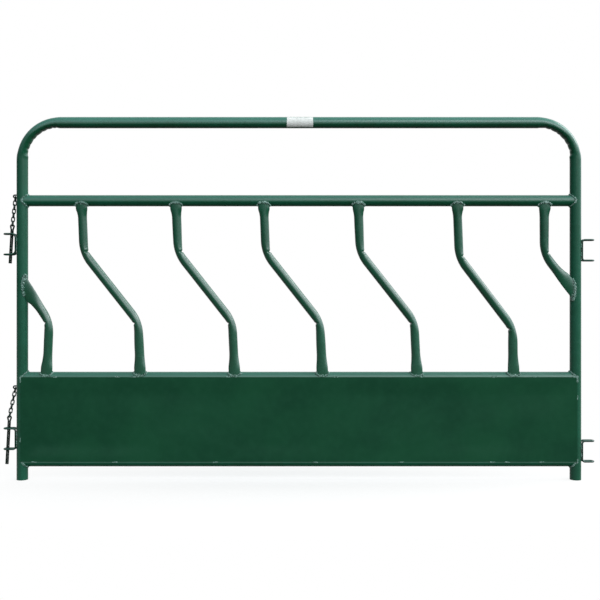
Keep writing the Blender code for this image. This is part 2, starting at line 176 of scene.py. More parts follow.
class Sweep:
    """Round stock followed along its run: a ring extruded through straights and spun through bends."""

    def __init__(self, name, place, heading, diameter, sides):
        self.place = Vector(place)
        self.heading = Vector(heading).normalized()
        turn = self.heading.to_track_quat("Z", "Y").to_euler()
        bpy.ops.object.select_all(action="DESELECT")
        bpy.ops.mesh.primitive_circle_add(
            vertices=sides, radius=diameter / 2, fill_type="NOTHING", location=self.place, rotation=turn
        )
        self.piece = bpy.context.object
        self.piece.name = name
        bpy.ops.object.transform_apply(location=True, rotation=True, scale=True)
        bpy.ops.object.mode_set(mode="EDIT")

    def go(self, length, steps=1):
        """Straight on, in so many equal steps."""
        step = self.heading * (length / steps)
        for _ in range(steps):
            bpy.ops.mesh.extrude_region_move(TRANSFORM_OT_translate={"value": step})
        self.place += self.heading * length
        return self

    def turn(self, towards, radius, steps):
        """A bend of this centre-line radius, until the run heads towards a new direction."""
        towards = Vector(towards).normalized()
        axis = self.heading.cross(towards).normalized()
        angle = self.heading.angle(towards)
        centre = self.place + axis.cross(self.heading) * radius
        bpy.ops.mesh.spin(steps=steps, angle=-angle, center=centre, axis=axis)
        self.place = centre + Matrix.Rotation(angle, 3, axis) @ (self.place - centre)
        self.heading = towards
        return self

    def done(self, closed=False, caps=True):
        """Leaves edit mode with the skin joined up, its ends closed and its faces outwards."""
        bpy.ops.mesh.select_all(action="SELECT")
        bpy.ops.mesh.remove_doubles(threshold=0.00002)
        if caps and not closed:
            bpy.ops.mesh.select_all(action="DESELECT")
            bpy.ops.mesh.select_mode(type="EDGE")
            bpy.ops.mesh.select_non_manifold()
            bpy.ops.mesh.edge_face_add()
            bpy.ops.mesh.select_mode(type="VERT")
        bpy.ops.mesh.select_all(action="SELECT")
        bpy.ops.mesh.normals_make_consistent(inside=False)
        bpy.ops.object.mode_set(mode="OBJECT")
        return self.piece


def thicken(piece, name, thickness, offset):
    """Gives a skin its thickness, inwards at an offset of -1 and outwards at 1."""
    solidify = piece.modifiers.new(name, "SOLIDIFY")
    solidify.thickness = thickness
    solidify.offset = offset
    bpy.context.view_layer.objects.active = piece
    bpy.ops.object.modifier_apply(modifier=solidify.name)


def smooth(piece, degrees=40):
    bpy.ops.object.select_all(action="DESELECT")
    piece.select_set(True)
    bpy.context.view_layer.objects.active = piece
    bpy.ops.object.shade_smooth_by_angle(angle=math.radians(degrees))


def finish_piece(piece, material, body, node=None, crease=40):
    """Gives a piece its finish and its body and, where it stands for a CAD node, hides that node."""
    piece.data.materials.clear()
    piece.data.materials.append(material)
    smooth(piece, crease)
    if node:
        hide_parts(node)
    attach(piece, body)
    return piece


def copy_placed(source, name, place):
    """A copy with its own mesh, moved to its place in the mesh itself."""
    copy = source.copy()
    copy.data = source.data.copy()
    copy.name = name
    copy.data.transform(place)
    bpy.context.scene.collection.objects.link(copy)
    return copy


def distance_to_tube(point, heading, axis_point, axis, radius):
    """How far along heading the point is from first touching a tube's skin."""
    flat_heading = heading - axis * heading.dot(axis)
    flat_offset = point - axis_point
    flat_offset -= axis * flat_offset.dot(axis)
    a = flat_heading.length_squared
    b = flat_heading.dot(flat_offset)
    c = flat_offset.length_squared - radius * radius
    inside = b * b - a * c
    return (-b - math.sqrt(max(inside, 0.0))) / a


def cope(piece, corner, inwards, zone, axis_point, axis):
    """Fits the end of a tube to the round of the tube it is welded to, easing the rings behind it."""
    radius = TUBE_RADIUS + GAP
    for vertex in piece.data.vertices:
        along = (vertex.co - corner).dot(inwards)
        if along > zone or (vertex.co - corner).length > zone * 1.2:
            continue
        foot = vertex.co - inwards * along
        start = -distance_to_tube(foot + inwards, -inwards, axis_point, axis, radius) + 1.0
        moved = start + along * (zone - start) / zone
        vertex.co = foot + inwards * moved


def end_ring(piece, corner, inwards, axis_point, axis):
    """The coped edge of a tube's end, as points in order round it."""
    radius = TUBE_RADIUS + GAP
    ring = []
    across = inwards.orthogonal().normalized()
    over = inwards.cross(across)
    for vertex in piece.data.vertices:
        offset = vertex.co - axis_point
        offset -= axis * offset.dot(axis)
        if abs(offset.length - radius) < 0.00006 and (vertex.co - corner).length < 0.07:
            spoke = vertex.co - corner
            ring.append((math.atan2(spoke.dot(over), spoke.dot(across)), vertex.co.copy()))
    ring.sort(key=lambda entry: entry[0])
    return [point for _, point in ring]


def spread(points, spacing, closed):
    """The same line with its points evenly spaced."""
    line = list(points) + ([points[0]] if closed else [])
    lengths = [(b - a).length for a, b in zip(line, line[1:])]
    total = sum(lengths)
    count = max(3, round(total / spacing))
    result = []
    part, walked = 0, 0.0
    for number in range(count + (0 if closed else 1)):
        target = total * number / count
        while part < len(lengths) - 1 and walked + lengths[part] < target:
            walked += lengths[part]
            part += 1
        share = min(1.0, (target - walked) / max(lengths[part], 1e-9))
        result.append(line[part].lerp(line[part + 1], share))
    return result


def weld(name, points, size, seed, closed=False, roughness=0.35):
    """A hand-laid bead: ripples a few millimetres apart, swelling and wandering a little as it goes."""
    rng = random.Random(seed)
    ripple = 0.0031
    steps = 4
    line = spread(points, ripple / steps, closed)
    curve = bpy.data.curves.new(name, "CURVE")
    curve.dimensions = "3D"
    curve.bevel_depth = size
    curve.bevel_resolution = 2
    curve.use_fill_caps = not closed
    spline = curve.splines.new("POLY")
    spline.points.add(len(line) - 1)
    spline.use_cyclic_u = closed
    swell = 1.0
    for number, (point, place) in enumerate(zip(spline.points, line)):
        if number % steps == 0:
            swell = rng.uniform(1.0 - roughness, 1.0 + roughness)
        phase = (number % steps) / steps
        round_top = 0.80 + 0.28 * math.sin(math.pi * (phase + 0.125))
        wander = noise.noise_vector(place * 90.0 + Vector((seed, 0.0, 0.0))) * size * 0.35
        ends = 1.0
        if not closed:
            ends = min(1.0, 0.35 + 1.3 * min(number, len(line) - 1 - number) / (2 * steps))
        point.co = (*(place + wander), 1.0)
        point.radius = round_top * swell * ends
    bead = bpy.data.objects.new(name, curve)
    bpy.context.scene.collection.objects.link(bead)
    bpy.ops.object.select_all(action="DESELECT")
    bead.select_set(True)
    bpy.context.view_layer.objects.active = bead
    bpy.ops.object.convert(target="MESH")
    return bpy.context.object


def join(pieces, name):
    """Beads joined into one piece, flattened where they would stand proud of the panel's faces."""
    bpy.ops.object.select_all(action="DESELECT")
    for piece in pieces:
        piece.select_set(True)
    bpy.context.view_layer.objects.active = pieces[0]
    bpy.ops.object.join()
    pieces[0].name = name
    knee = 0.0012
    for vertex in pieces[0].data.vertices:
        for face, outwards in ((cad_low.y, -1), (cad_high.y, 1)):
            over = (vertex.co.y - face) * outwards + knee
            if over > 0:
                vertex.co.y = face + outwards * (math.tanh(over / knee) - 1) * knee
    return pieces[0]


# Materials

def linear(code):
    """An sRGB hex colour as linear light."""
    values = [int(code[i:i + 2], 16) / 255 for i in (1, 3, 5)]
    return tuple(v / 12.92 if v <= 0.04045 else ((v + 0.055) / 1.055) ** 2.4 for v in values) + (1.0,)


def add(tree, kind, links=None, **settings):
    """Adds a node. links gives inputs by name or number, as a value or as another node's output."""
    node = tree.nodes.new(kind)
    for key, value in settings.items():
        setattr(node, key, value)
    for key, value in (links or {}).items():
        if isinstance(value, bpy.types.NodeSocket):
            tree.links.new(value, node.inputs[key])
        else:
            node.inputs[key].default_value = value
    return node


def new_material(name):
    material = bpy.data.materials.new(name)
    material.use_nodes = True
    material.node_tree.nodes.clear()
    return material, material.node_tree


def spots(tree, place, size, low, high, detail=3.0):
    """A 0 to 1 mask of blotches of about this size in metres."""
    field = add(tree, "ShaderNodeTexNoise", {"Vector": place, "Scale": 1.0 / size, "Detail": detail})
    span = {"Value": field.outputs["Fac"], "From Min": low, "From Max": high}
    return add(tree, "ShaderNodeMapRange", span)


def mixed(tree, factor, first, second):
    node = add(tree, "ShaderNodeMix", {"Factor": factor}, data_type="RGBA")
    for number, value in ((6, first), (7, second)):
        if isinstance(value, bpy.types.NodeSocket):
            tree.links.new(value, node.inputs[number])
        else:
            node.inputs[number].default_value = value
    return node.outputs[2]


def enamel(
    name, colour, deep, dull,
    rub=0.0, lumps=0.00016, shine=0.72, under=0.08, gloss=0.22, painted_sheen=0.12, wet=(-0.02, 0.18), top=None,
    grain=(0.03, 0.22),
):
    """Alkyd enamel, dipped or sprayed on steel and baked: an even green with soft thick and thin places.

    The coat flows out glossy on what faces up and stays dull on the sides and underneath, and what
    faces up gets a painted sheen, a pale teal that stands in for the light from above, so round
    stock shows a light upper half over a dark lower one.
    wet gives the normal's Z between which it turns from dull to glossy, and top the same at the top
    rail, where the gloss and the painted sheen reach further round the tube. grain is the size and
    strength of the fine blotches.
    """
    material, tree = new_material(name)
    place = add(tree, "ShaderNodeTexCoord").outputs["Object"]
    # thick and thin places about 250 mm across, then the fine blotches
    broad = spots(tree, place, 0.25, 0.35, 0.65).outputs["Result"]
    fine = spots(tree, place, grain[0], 0.42, 0.72, 5.0).outputs["Result"]
    coat = mixed(tree, broad, linear(deep), linear(colour))
    soft = add(tree, "ShaderNodeMath", {0: fine, 1: grain[1]}, operation="MULTIPLY").outputs[0]
    coat = mixed(tree, soft, coat, linear(dull))
    # painted sheen: a pale teal mixed into the colour on what faces up, standing in for the light that
    # falls from above
    facing = add(tree, "ShaderNodeSeparateXYZ", {0: add(tree, "ShaderNodeNewGeometry").outputs["Normal"]})
    dull_from, glossy_from, sheen_full_from = (*wet, wet[1] + 0.3)
    if top:
        height = add(tree, "ShaderNodeSeparateXYZ", {0: place}).outputs["Z"]
        span = {"Value": height, "From Min": TOP_Z - 0.06, "From Max": TOP_Z - 0.01}
        dull_from, glossy_from, sheen_full_from = [
            add(tree, "ShaderNodeMapRange", {**span, "To Min": low, "To Max": high}).outputs["Result"]
            for low, high in zip((*wet, wet[1] + 0.3), (*top, top[1] + 0.3))
        ]
    sky = {"Value": facing.outputs["Z"], "From Min": dull_from, "From Max": sheen_full_from, "To Max": painted_sheen}
    # the pale teal of the painted sheen, at its full share on what faces up
    coat = mixed(tree, add(tree, "ShaderNodeMapRange", sky).outputs["Result"], coat, linear("#4f9684"))
    coating = add(tree, "ShaderNodeMapRange", {
        "Value": facing.outputs["Z"],
        "From Min": dull_from,
        "From Max": glossy_from,
        "To Min": shine * under,
        "To Max": shine,
    }, interpolation_type="SMOOTHSTEP")
    rough = add(tree, "ShaderNodeMapRange", {"Value": fine, "To Min": gloss, "To Max": gloss + 0.12})
    # orange peel of 3 mm, drawn at 6 mm so that it shows
    peel = add(tree, "ShaderNodeTexNoise", {"Vector": place, "Scale": 1.0 / PEEL_SIZE, "Detail": 2.0})
    bump = add(tree, "ShaderNodeBump", {"Height": peel.outputs["Fac"], "Strength": 0.35, "Distance": lumps})
    shader = add(tree, "ShaderNodeBsdfPrincipled", {
        "Base Color": coat,
        "Roughness": rough.outputs["Result"],
        "Normal": bump.outputs["Normal"],
        "IOR": 1.5,
        "Specular IOR Level": coating.outputs["Result"],
    })
    # the level that stands where a varying one can't be carried over
    shader.inputs["Specular IOR Level"].default_value = shine / 2
    surface = shader.outputs["BSDF"]
    if rub:
        # bare steel where parts knock and rub, in flecks of about 4 mm
        worn = spots(tree, place, 0.004, 0.62 - rub, 0.66 - rub, 6.0).outputs["Result"]
        steel = add(tree, "ShaderNodeBsdfPrincipled", {
            "Base Color": linear("#7b7f7a"),
            "Metallic": 1.0,
            "Roughness": 0.42,
            "Normal": bump.outputs["Normal"],
        })
        both = {0: worn, 1: surface, 2: steel.outputs["BSDF"]}
        surface = add(tree, "ShaderNodeMixShader", both).outputs[0]
    tree.links.new(surface, add(tree, "ShaderNodeOutputMaterial").inputs["Surface"])
    return material


# the usual, the thin and the dull green of the coat that all the tubes share
TUBE_COATS = ("#0f4c34", "#0c422a", "#1b5441")
bar_enamel = enamel(
    "baked_green_enamel_on_bent_tube", *TUBE_COATS, shine=1.0, under=0.13, wet=(-0.12, 0.42)
)
rail_enamel = enamel(
    "baked_green_enamel_on_level_tube", *TUBE_COATS, gloss=0.36, painted_sheen=0.24, wet=(-0.36, 0.06)
)
frame_enamel = enamel(
    "baked_green_enamel_on_frame_tube", *TUBE_COATS, painted_sheen=0.40, wet=(-0.12, 0.42), top=(-0.48, -0.12)
)
sheet_enamel = enamel(
    "baked_green_enamel_on_sheet_steel", "#1a4930", "#16402b", "#235039", shine=0.3, gloss=0.50
)
rod_enamel = enamel(
    "dipped_green_enamel_on_steel_rod", "#153a2b", "#102f22", "#24493b", shine=0.5, lumps=0.0005
)
# the dull tone here, a pale grey-green in fine flecks, is painted glints on the ripples of the beads
weld_enamel = enamel(
    "green_enamel_over_weld_metal", "#245341", "#1c4433", "#96b8aa",
    lumps=0.0012, under=0.3, wet=(-0.5, 0.3), grain=(0.004, 0.85),
)
chain_enamel = enamel(
    "dark_enamel_on_chain_steel", "#13231b", "#0d1913", "#1c2e25", rub=0.02, shine=0.25, gloss=0.40
)


def label_film():
    """A blank polyester label: smooth satin film, a little yellowed and scuffed."""
    material, tree = new_material("blank_polyester_label_film")
    place = add(tree, "ShaderNodeTexCoord").outputs["Object"]
    scuff = spots(tree, place, 0.012, 0.5, 0.75, 6.0).outputs["Result"]
    colour = mixed(tree, scuff, linear("#e4e3dc"), linear("#cfcfc6"))
    shader = add(tree, "ShaderNodeBsdfPrincipled", {"Base Color": colour, "Roughness": 0.38, "IOR": 1.5})
    tree.links.new(shader.outputs["BSDF"], add(tree, "ShaderNodeOutputMaterial").inputs["Surface"])
    return material


# Outer frame

def crinkle_bends(piece):
    """Small folds pressed into the inside of each corner where the tube was bent, and a flatter outside."""
    folds = 9.5
    fold_depth, fold_spread = 0.0034, 0.0014
    crush_depth, flat_depth = 0.0080, 0.0012
    for vertex in piece.data.vertices:
        side = 1.0 if vertex.co.x > 0 else -1.0
        centre = Vector((side * (POST_X - CORNER_RADIUS), TUBE_Y, TOP_Z - CORNER_RADIUS))
        offset = vertex.co - centre
        if offset.z < -0.004 or offset.x * side < -0.004:
            continue
        flat = Vector((offset.x, 0.0, offset.z))
        angle = math.atan2(offset.z, offset.x * side)
        share = min(1.0, max(0.0, angle / (math.pi / 2)))
        ease = max(0.0, min(1.0, 16 * (share - 0.08), 12 * (1 - share)))
        outward = flat.normalized()
        section = vertex.co - centre - outward * CORNER_RADIUS
        inner = max(0.0, -section.dot(outward) / TUBE_RADIUS)
        outer = max(0.0, section.dot(outward) / TUBE_RADIUS)
        wave = folds * share + 0.35 * noise.noise(Vector((7.0 * share, side, 3.0)))
        fold = abs(math.sin(math.pi * wave)) ** 0.6
        depth = fold_depth + fold_spread * noise.noise(Vector((folds * share * 0.8, side * 2.0, 9.0)))
        # the inside is crushed flat, most of all in the half of the bend nearer the post
        crushed = crush_depth * math.sin(math.pi * min(1.0, (share + 0.10) / 1.10)) ** 0.8 * ease
        vertex.co += outward * ((depth * (1 - fold) * ease + crushed) * inner ** 1.6)
        vertex.co -= outward * (flat_depth * ease * outer ** 2)
        vertex.co.y = min(cad_high.y, TUBE_Y + (vertex.co.y - TUBE_Y) * (1 + 0.02 * ease))


def build_outer_frame():
    sweep = Sweep("frame_tube", (-POST_X, TUBE_Y, 0.0), UP, TUBE_DIAMETER, 40)
    sweep.go(TOP_Z - CORNER_RADIUS, 4).turn(RIGHT, CORNER_RADIUS, 64)
    sweep.go(2 * (POST_X - CORNER_RADIUS), 4).turn(-UP, CORNER_RADIUS, 64)
    sweep.go(TOP_Z - CORNER_RADIUS, 4)
    piece = sweep.done(caps=False)
    crinkle_bends(piece)
    thicken(piece, "tube_wall", TUBE_WALL, -1.0)
    return finish_piece(piece, frame_enamel, "panel", "outer_frame", 50)


# Rails

def build_rail(node, height, sheeted=False):
    """A straight tube coped on both posts, and the bead round each end, which stays behind the sheet."""
    sweep = Sweep(node + "_tube", (-POST_X, TUBE_Y, height), RIGHT, TUBE_DIAMETER, 40)
    sweep.go(RAIL_END_RUN, 3).go(2 * POST_X - 2 * RAIL_END_RUN, 2).go(RAIL_END_RUN, 3)
    piece = sweep.done()
    beads = []
    for side in (-1, 1):
        corner = Vector((side * POST_X, TUBE_Y, height))
        inwards = RIGHT * -side
        cope(piece, corner, inwards, RAIL_END_RUN, corner, UP)
        ring = end_ring(piece, corner, inwards, corner, UP)
        spokes = [(point - corner).cross(inwards).cross(inwards).normalized() for point in ring]
        spine = [point - spoke * RAIL_BEAD_SET_IN for point, spoke in zip(ring, spokes)]
        beads.append(weld(node + "_weld", spine, RAIL_BEAD, int(height * 1000) + side, closed=True))
    finish_piece(piece, rail_enamel, "panel", node, 50)
    beads = join(beads, node + "_end_welds")
    if sheeted:
        for vertex in beads.data.vertices:
            vertex.co.y = max(vertex.co.y, TUBE_Y - TUBE_RADIUS)
    finish_piece(beads, weld_enamel, "panel")


# Sheet

def build_sheet():
    """Thin sheet, flat along its welds and dished a little between the tubes."""
    low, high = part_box("lower_sheet")
    size = high - low
    bpy.ops.object.select_all(action="DESELECT")
    bpy.ops.mesh.primitive_grid_add(x_subdivisions=170, y_subdivisions=26, size=1.0)
    piece = bpy.context.object
    piece.name = "feeder_sheet"
    bpy.ops.object.mode_set(mode="EDIT")
    bpy.ops.transform.resize(value=(size.x, size.z, 1.0))
    bpy.ops.object.mode_set(mode="OBJECT")
    place = Matrix.Translation((0.0, high.y, (low.z + high.z) / 2))
    piece.data.transform(place @ Matrix.Rotation(math.pi / 2, 4, "X"))
    seat, dish, ripple = 0.00025, 0.0018, 0.0005
    for vertex in piece.data.vertices:
        broad = noise.noise(Vector((vertex.co.x * 2.3, vertex.co.z * 4.0, 1.0)))
        short = noise.noise(Vector((vertex.co.x * 7.0, vertex.co.z * 9.0, 5.0)))
        reach = min(vertex.co.z - low.z, high.z - vertex.co.z, high.x - abs(vertex.co.x))
        free = min(1.0, max(0.0, (reach - SHEET_FLAT_EDGE) / SHEET_EASE))
        vertex.co.y += seat + max(0.0, dish * (broad + 0.45) + ripple * short) * free
    thicken(piece, "sheet_thickness", SHEET_THICKNESS, 1.0)
    return finish_piece(piece, sheet_enamel, "panel", "lower_sheet", 30)


def build_stitch_welds():
    """Short beads that hold the sheet's edges to the tubes."""
    low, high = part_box("lower_sheet")
    front = low.y
    top_places = (-1.047, -0.778, -0.709, -0.30, 0.16, 0.53, 0.840, 1.014)
    foot_places = (-1.137, -0.790, -0.36, 0.07, 0.44, 0.831, 0.893, 1.044)
    right_places = (0.428, 0.356, 0.084)
    left_places = (0.175, 0.429)
    beads = []
    rows = (
        (high.z + STITCH_OUTSIDE, top_places, 100),
        (low.z - STITCH_OUTSIDE, foot_places, 200),
    )
    for height, places, first_seed in rows:
        for number, x in enumerate(places):
            start = Vector((x - STITCH_LENGTH / 2, front + STITCH_DEPTH, height))
            run = [start, start + RIGHT * STITCH_LENGTH]
            beads.append(weld("stitch", run, STITCH_BEAD, first_seed + number))
    for side, places in ((1, right_places), (-1, left_places)):
        for number, z in enumerate(places):
            start = Vector((
                side * (high.x + STITCH_OUTSIDE),
                front + STITCH_DEPTH,
                z - EDGE_STITCH_LENGTH / 2,
            ))
            run = [start, start + UP * EDGE_STITCH_LENGTH]
            beads.append(weld("stitch", run, STITCH_BEAD, 300 + 10 * side + number))
    # the top corners are held by a heavier bead that turns from one edge to the other
    for side, across, fall in ((1, 0.020, 0.024), (-1, 0.008, 0.020)):
        top = Vector((side * (high.x - across), front + 0.0016, high.z + 0.0008))
        turn = Vector((side * (high.x + 0.0006), front + 0.0016, high.z + 0.0008))
        run = [top, turn, turn - UP * fall]
        beads.append(weld("corner_stitch", run, CORNER_STITCH_BEAD, 600 + side, roughness=0.5))
    finish_piece(join(beads, "sheet_stitch_welds"), weld_enamel, "panel")


# Bent bars

class PressedEnd:
    """A bar's end pressed from the back, wide and shallow, where it is welded to a tube."""

    def __init__(self, axis_point, axis, width, depth, flat, taper, squeeze=0.0):
        self.axis_point = axis_point
        self.axis = axis
        self.width = width
        self.depth = depth
        self.flat = flat
        self.taper = taper
        self.squeeze = squeeze

    def press(self, piece, corner, inwards):
        """Widens and thins the last stretch of a bar; inwards leads from its corner into the bar."""
        across = inwards.cross(BACK).normalized()
        reach = self.flat + self.taper
        for vertex in piece.data.vertices:
            offset = vertex.co - corner
            along = offset.dot(inwards)
            if along > reach + SQUEEZE_RUN or abs(offset.dot(across)) > BAR_DIAMETER:
                continue
            share = min(1.0, max(0.0, 1.0 - (along - self.flat) / self.taper))
            share = share * share * (3 - 2 * share)
            # the roller that draws the bar in leaves it a little oval from here to its bend
            oval = self.squeeze * min(1.0, max(0.0, (reach + SQUEEZE_RUN - along) / 0.05))
            widen = 1.0 + oval + share * (self.width / BAR_DIAMETER - 1.0 - oval)
            thin = 1.0 - oval + share * (self.depth / BAR_DIAMETER - 1.0 + oval)
            side = offset.dot(across) / (BAR_DIAMETER / 2)
            vertex.co += across * (offset.dot(across) * (widen - 1.0))
            vertex.co.y = BAR_FRONT + (vertex.co.y - BAR_FRONT) * thin
            # the press leaves a slight hollow along the back, and its edge shows as a soft fold
            hollow = share * max(0.0, 1 - side * side) * (0.0012 + 0.0006 * noise.noise(vertex.co * 40.0))
            if vertex.co.y > BAR_FRONT + self.depth * 0.5:
                vertex.co.y -= hollow


def straight_inner_line(half, turn, radius):
    """How far from a bend's centre the straight lines of its inner side run, this far round it."""
    return radius / math.cos(half - min(abs(turn), half))


def crush_bend(piece, corner, before, after, seed):
    """The inside of a bend folded in by the die, to a sharp crease with a lip on both sides."""
    to_before = (before - corner).normalized()
    to_after = (after - corner).normalized()
    inside = (to_before + to_after).normalized()
    half = (math.pi - to_before.angle(to_after)) / 2
    centre = corner + inside * (BAR_BEND_RADIUS / math.cos(half))
    along_bar = (to_after - to_before).normalized()
    inner_radius = BAR_BEND_RADIUS - BAR_DIAMETER / 2
    crease_depth, crease_width = 0.0030, 0.0034
    lip_height, lip_place, lip_width = 0.0007, 0.0095, 0.0048
    wrinkle_depth, wrinkle_reach = 0.0007, 0.035
    for vertex in piece.data.vertices:
        offset = vertex.co - centre
        turn = math.atan2(offset.dot(along_bar), -offset.dot(inside))
        if abs(turn) > half + 0.02 or (vertex.co - corner).length > 0.12:
            continue
        distance = math.hypot(offset.dot(along_bar), offset.dot(inside))
        outward = (along_bar * math.sin(turn) - inside * math.cos(turn)).normalized()
        inner = max(0.0, (BAR_BEND_RADIUS - distance) / (BAR_DIAMETER / 2))
        depth = straight_inner_line(half, turn, inner_radius) - inner_radius
        along = turn * BAR_BEND_RADIUS
        ragged = 0.8 + 0.3 * noise.noise(Vector((seed, along * 60.0, vertex.co.y * 60.0)))
        crease = math.exp(-(along / crease_width) ** 2)
        lips = math.exp(-((abs(along) - lip_place) / lip_width) ** 2)
        folded = depth + (crease_depth * crease - lip_height * lips) * ragged
        vertex.co += outward * (folded * inner ** 0.7)
        pinch = (0.16 * crease - 0.05 * lips) * min(1.0, inner * 2.2)
        vertex.co.y = BAR_Y + (vertex.co.y - BAR_Y) * (1 - pinch * ragged)
        # fine wrinkles on the compressed side
        wrinkle = noise.noise(Vector((along * 190.0, distance * 70.0, vertex.co.y * 70.0 + seed)))
        near = math.exp(-(along / wrinkle_reach) ** 2) * min(1.0, inner * 2.0)
        vertex.co += outward * (wrinkle_depth * wrinkle * near)
        middle = max(0.0, 1 - abs(BAR_BEND_RADIUS - distance) / (BAR_DIAMETER / 2))
        bulge = math.exp(-(along / 0.022) ** 2) * middle
        vertex.co.y = BAR_Y + (vertex.co.y - BAR_Y) * (1 + 0.03 * bulge)


def keep_behind_front(piece):
    """The front of every bar stays in one plane, just behind the front of the rails."""
    for vertex in piece.data.vertices:
        vertex.co.y = max(vertex.co.y, BAR_FRONT)


def build_bar(node, corners, ends):
    """A bar through its corners, with the way each end is pressed."""
    first = (corners[1] - corners[0]).normalized()
    last = (corners[-2] - corners[-1]).normalized()
    sweep = Sweep(node + "_tube", corners[0], first, BAR_DIAMETER, 36)
    sweep.go(ends[0].flat + ends[0].taper, 16)
    for number in range(1, len(corners) - 1):
        corner, after = corners[number], corners[number + 1]
        heading = (after - corner).normalized()
        half = sweep.heading.angle(heading) / 2
        reach = BAR_BEND_RADIUS * math.tan(half)
        if (corner - sweep.place).length > reach:
            sweep.go((corner - sweep.place).length - reach, 3)
        sweep.turn(heading, BAR_BEND_RADIUS, 44)
    zone = ends[-1].flat + ends[-1].taper
    sweep.go((corners[-1] - sweep.place).length - zone, 3)
    sweep.go(zone, 16)
    piece = sweep.done()
    for number in range(1, len(corners) - 1):
        before, corner, after = corners[number - 1:number + 2]
        crush_bend(piece, corner, before, after, number + corners[0].x)
    beads = []
    for corner, inwards, end in zip((corners[0], corners[-1]), (first, last), ends):
        seed = int(abs(corner.x) * 977 + corner.z * 61)
        end.press(piece, corner, inwards)
        cope(piece, corner, inwards, end.flat + end.taper * 0.5, end.axis_point, end.axis)
        ring = end_ring(piece, corner, inwards, end.axis_point, end.axis)
        centre = sum(ring, Vector()) / len(ring)
        spine = []
        for point in ring:
            spoke = point - centre
            spoke -= inwards * spoke.dot(inwards)
            spine.append(point + spoke.normalized() * BAR_BEAD_SET_OUT - inwards * BAR_BEAD_OVERLAP)
        beads.append(weld(node + "_weld", spine, BAR_BEAD, seed, closed=True, roughness=0.45))
    keep_behind_front(piece)
    finish_piece(piece, bar_enamel, "panel", node, 50)
    finish_piece(join(beads, node + "_end_welds"), weld_enamel, "panel")


def down(start, lean, height):
    """The point at this height on a line that leans to the right on its way down from start."""
    return Vector((start.x + (start.z - height) * math.tan(lean), BAR_Y, height))


def build_bars():
    mid_rail = Vector((0.0, TUBE_Y, MID_Z))
    sheet_rail = Vector((0.0, TUBE_Y, SHEET_TOP_Z))

    def on_mid(squeeze):
        return PressedEnd(
            mid_rail, RIGHT, RAIL_END_WIDTH, RAIL_END_DEPTH, TUBE_RADIUS, HEAD_END_TAPER, squeeze
        )

    def on_sheet(squeeze):
        return PressedEnd(
            sheet_rail, RIGHT, RAIL_END_WIDTH, RAIL_END_DEPTH, TUBE_RADIUS, FOOT_END_TAPER, squeeze
        )

    def on_post(side):
        post = Vector((side * POST_X, TUBE_Y, 0.0))
        return PressedEnd(post, UP, POST_END_WIDTH, POST_END_DEPTH, POST_END_FLAT, POST_END_TAPER)

    top_x = -POST_X
    for number, space in enumerate(BAR_SPACES, start=1):
        top_x += space
        drop, diagonal, rise, foot = BEND_DROP, DIAGONAL_LEAN, DIAGONAL_RISE, FOOT_LEAN
        if number == 5:
            drop, diagonal = FIFTH_BEND_DROP, FIFTH_DIAGONAL_LEAN
            rise, foot = FIFTH_DIAGONAL_RISE, FIFTH_FOOT_LEAN
        top = Vector((top_x, BAR_Y, MID_Z))
        upper = down(top, HEAD_LEAN, MID_Z - drop)
        lower = down(upper, diagonal, upper.z - rise)
        corners = [top, upper, lower, down(lower, foot, SHEET_TOP_Z)]
        squeezed = (0.0, 0.08) if number % 2 else (0.05, 0.01)
        build_bar("slant_bar_%d" % number, corners, [on_mid(squeezed[0]), on_sheet(squeezed[1])])

    right_x = POST_X - RIGHT_SHORT_INSET
    bend = Vector((right_x, BAR_Y, MID_Z - RIGHT_SHORT_BEND_DROP))
    foot = down(bend, DIAGONAL_LEAN, bend.z - RIGHT_SHORT_INSET / math.tan(DIAGONAL_LEAN))
    corners = [Vector((right_x, BAR_Y, MID_Z)), bend, foot]
    build_bar("slant_bar_right_short", corners, [on_mid(0.04), on_post(1)])

    bend = Vector((LEFT_SHORT_INSET - POST_X, BAR_Y, MID_Z - BEND_DROP - DIAGONAL_RISE))
    head = Vector((-POST_X, BAR_Y, bend.z + LEFT_SHORT_INSET / math.tan(LEFT_SHORT_DIAGONAL_LEAN)))
    corners = [head, bend, down(bend, LEFT_SHORT_FOOT_LEAN, SHEET_TOP_Z)]
    build_bar("slant_bar_left_short", corners, [on_post(-1), on_sheet(0.0)])


# Connector loops

